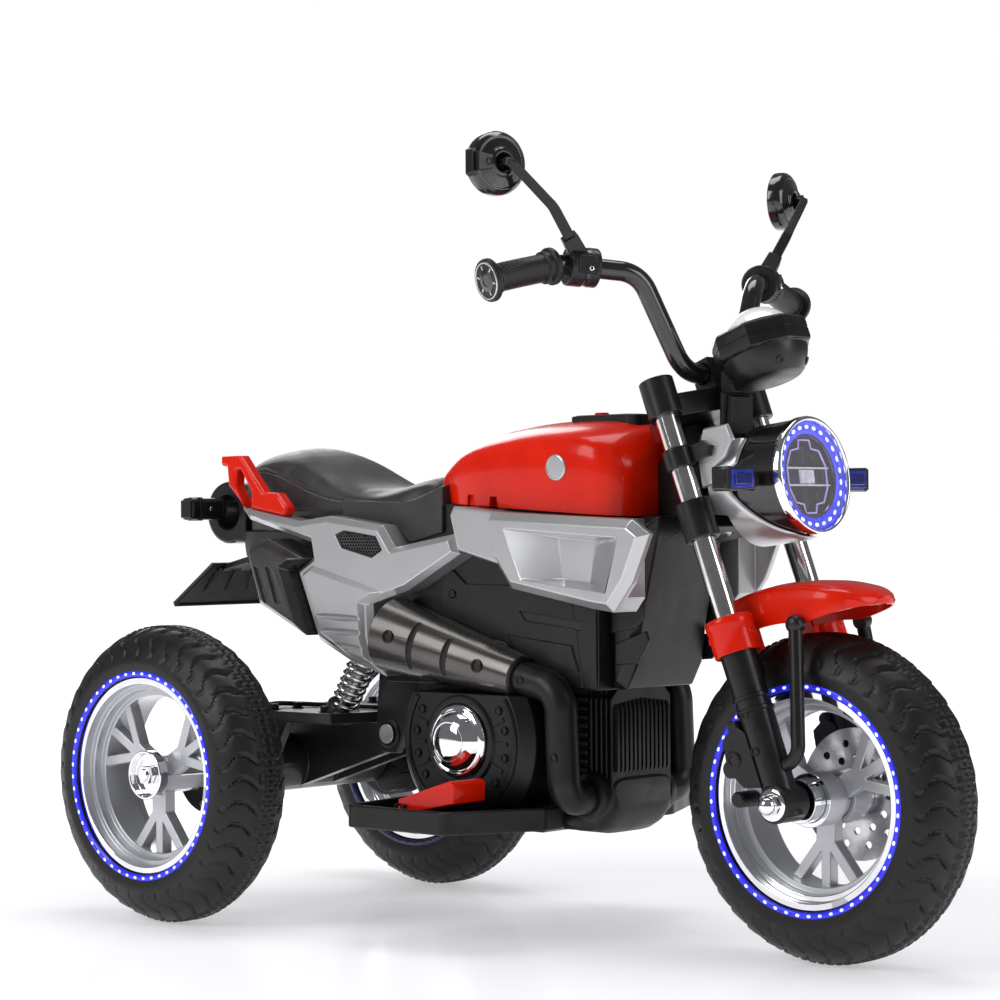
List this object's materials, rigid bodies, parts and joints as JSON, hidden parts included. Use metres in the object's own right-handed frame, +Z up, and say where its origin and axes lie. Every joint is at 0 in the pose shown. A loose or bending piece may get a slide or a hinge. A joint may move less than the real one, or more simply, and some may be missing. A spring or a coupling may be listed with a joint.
{
  "type": "ride_on_motorbike",
  "caption": "Kids electric three-wheeled motorbike with steered front fork, sprung rear swing arm, lit spoked wheels, padded seat, mirrors and throttle pedal",
  "frame": {"origin": "on the floor, midway between the front and rear axles, on the centre plane", "axes": "X forward, Y to the rider's left, Z up"},
  "size_m": [0.9886, 0.499, 0.7635],
  "materials": {
    "black_shell": "satin moulded plastic",
    "engine_black": "fine-grained moulded plastic",
    "gloss_black": "glossy moulded plastic",
    "red_paint": "glossy painted plastic",
    "silver_paint": "metallic silver painted plastic",
    "shield_grey": "dark grey metallic plastic",
    "seat_leather": "grained leather-look cover, stitched",
    "battery_case": "sealed battery case",
    "frame_steel": "zinc-plated steel",
    "bright_chrome": "polished plating",
    "disc_steel": "drilled steel",
    "rim_silver": "metallic silver wheel plastic",
    "tyre_rubber": "matt rubber with shoulder lugs",
    "grip_rubber": "soft ribbed rubber",
    "light_strip": "clear strip with small lights behind",
    "lamp_glass": "clear lens over a reflector",
    "signal_blue": "tinted lens in a black case"
  },
  "bodies": {
    "chassis": {"body_shell_right": "black_shell", "body_shell_left": "black_shell", "engine_block": "engine_black", "engine_caps": "bright_chrome", "front_cowl": "black_shell", "head_tube": "frame_steel", "tank_cover": "red_paint", "control_panel": "gloss_black", "side_scoops": "silver_paint", "seat_base": "black_shell", "seat_pad": "seat_leather", "tail_cover": "black_shell", "tail_fairings": "silver_paint", "exhaust_shields": "shield_grey", "exhaust_pipes": "engine_black", "muffler_tips": "shield_grey", "grab_handles": "red_paint", "tail_hoop": "gloss_black", "rear_signals": "gloss_black", "plate_holder": "black_shell", "footboards": "black_shell", "battery": "battery_case", "control_box": "black_shell", "charge_socket": "gloss_black", "body_screws": "frame_steel", "swing_pin": "frame_steel"},
    "pedal": {"throttle_pedal": "red_paint"},
    "rocker": {"drive_switch": "red_paint"},
    "button": {"horn_button": "gloss_black"},
    "swing": {"swing_arm": "engine_black", "gear_motors": "engine_black", "rear_axle": "frame_steel", "shock_rods": "engine_black", "shock_springs": "bright_chrome"},
    "wheel_right": {"rear_tyre_right": "tyre_rubber", "rear_rim_right": "rim_silver", "rear_lights_right": "light_strip"},
    "wheel_left": {"rear_tyre_left": "tyre_rubber", "rear_rim_left": "rim_silver", "rear_lights_left": "light_strip"},
    "steering": {"fork_tubes": "bright_chrome", "fork_clamps": "black_shell", "fork_legs": "black_shell", "front_fender": "red_paint", "front_axle": "frame_steel", "handlebar": "gloss_black", "grips": "grip_rubber", "mirror_arms": "black_shell", "dash_pod": "gloss_black", "headlamp_shell": "gloss_black", "headlamp_lens": "lamp_glass", "headlamp_bracket": "silver_paint", "front_signals": "signal_blue"},
    "wheel_front": {"front_tyre": "tyre_rubber", "front_rim": "rim_silver", "front_lights": "light_strip", "brake_disc": "disc_steel"},
    "mirror_right_head": {"mirror_right": "gloss_black"},
    "mirror_left_head": {"mirror_left": "gloss_black"}
  },
  "joints": [
    {"name": "rear_suspension", "type": "hinge", "parent": "chassis", "child": "swing", "pos_m": [-0.18233, 0, 0.19], "axis": [0, 1, 0], "range_deg": [0, 4], "stiffness_Nm_per_rad": 250, "springref_deg": -5.73, "deforming": ["shock_springs"]},
    {"name": "rear_wheel_right_spin", "type": "hinge", "parent": "swing", "child": "wheel_right", "pos_m": [-0.34233, -0.199, 0.152], "axis": [0, 1, 0], "continuous": true},
    {"name": "rear_wheel_left_spin", "type": "hinge", "parent": "swing", "child": "wheel_left", "pos_m": [-0.34233, 0.199, 0.152], "axis": [0, 1, 0], "continuous": true},
    {"name": "steering_turn", "type": "hinge", "parent": "chassis", "child": "steering", "pos_m": [0.1957, 0, 0.45279], "axis": [-0.3502, 0, 0.9367], "range_deg": [-20, 20]},
    {"name": "front_wheel_spin", "type": "hinge", "parent": "steering", "child": "wheel_front", "pos_m": [0.34233, 0, 0.152], "axis": [0, 1, 0], "continuous": true},
    {"name": "throttle_press", "type": "hinge", "parent": "chassis", "child": "pedal", "pos_m": [-0.03733, -0.1495, 0.133], "axis": [0, 1, 0], "range_deg": [0, 8], "stiffness_Nm_per_rad": 2, "springref_deg": -5.73},
    {"name": "drive_switch_rock", "type": "hinge", "parent": "chassis", "child": "rocker", "pos_m": [0.11367, 0, 0.504], "axis": [0, 1, 0], "range_deg": [-8, 8]},
    {"name": "horn_button_press", "type": "slide", "parent": "chassis", "child": "button", "axis": [0, 0, -1], "range_m": [0, 0.003], "stiffness_N_per_m": 400, "springref_m": -0.002},
    {"name": "mirror_right_tilt", "type": "hinge", "parent": "steering", "child": "mirror_right_head", "pos_m": [0.13957, -0.22078, 0.734], "axis": [0.2588, 0.9659, 0], "range_deg": [-15, 15]},
    {"name": "mirror_left_tilt", "type": "hinge", "parent": "steering", "child": "mirror_left_head", "pos_m": [0.13957, 0.22078, 0.734], "axis": [-0.2588, 0.9659, 0], "range_deg": [-15, 15]}
  ]
}
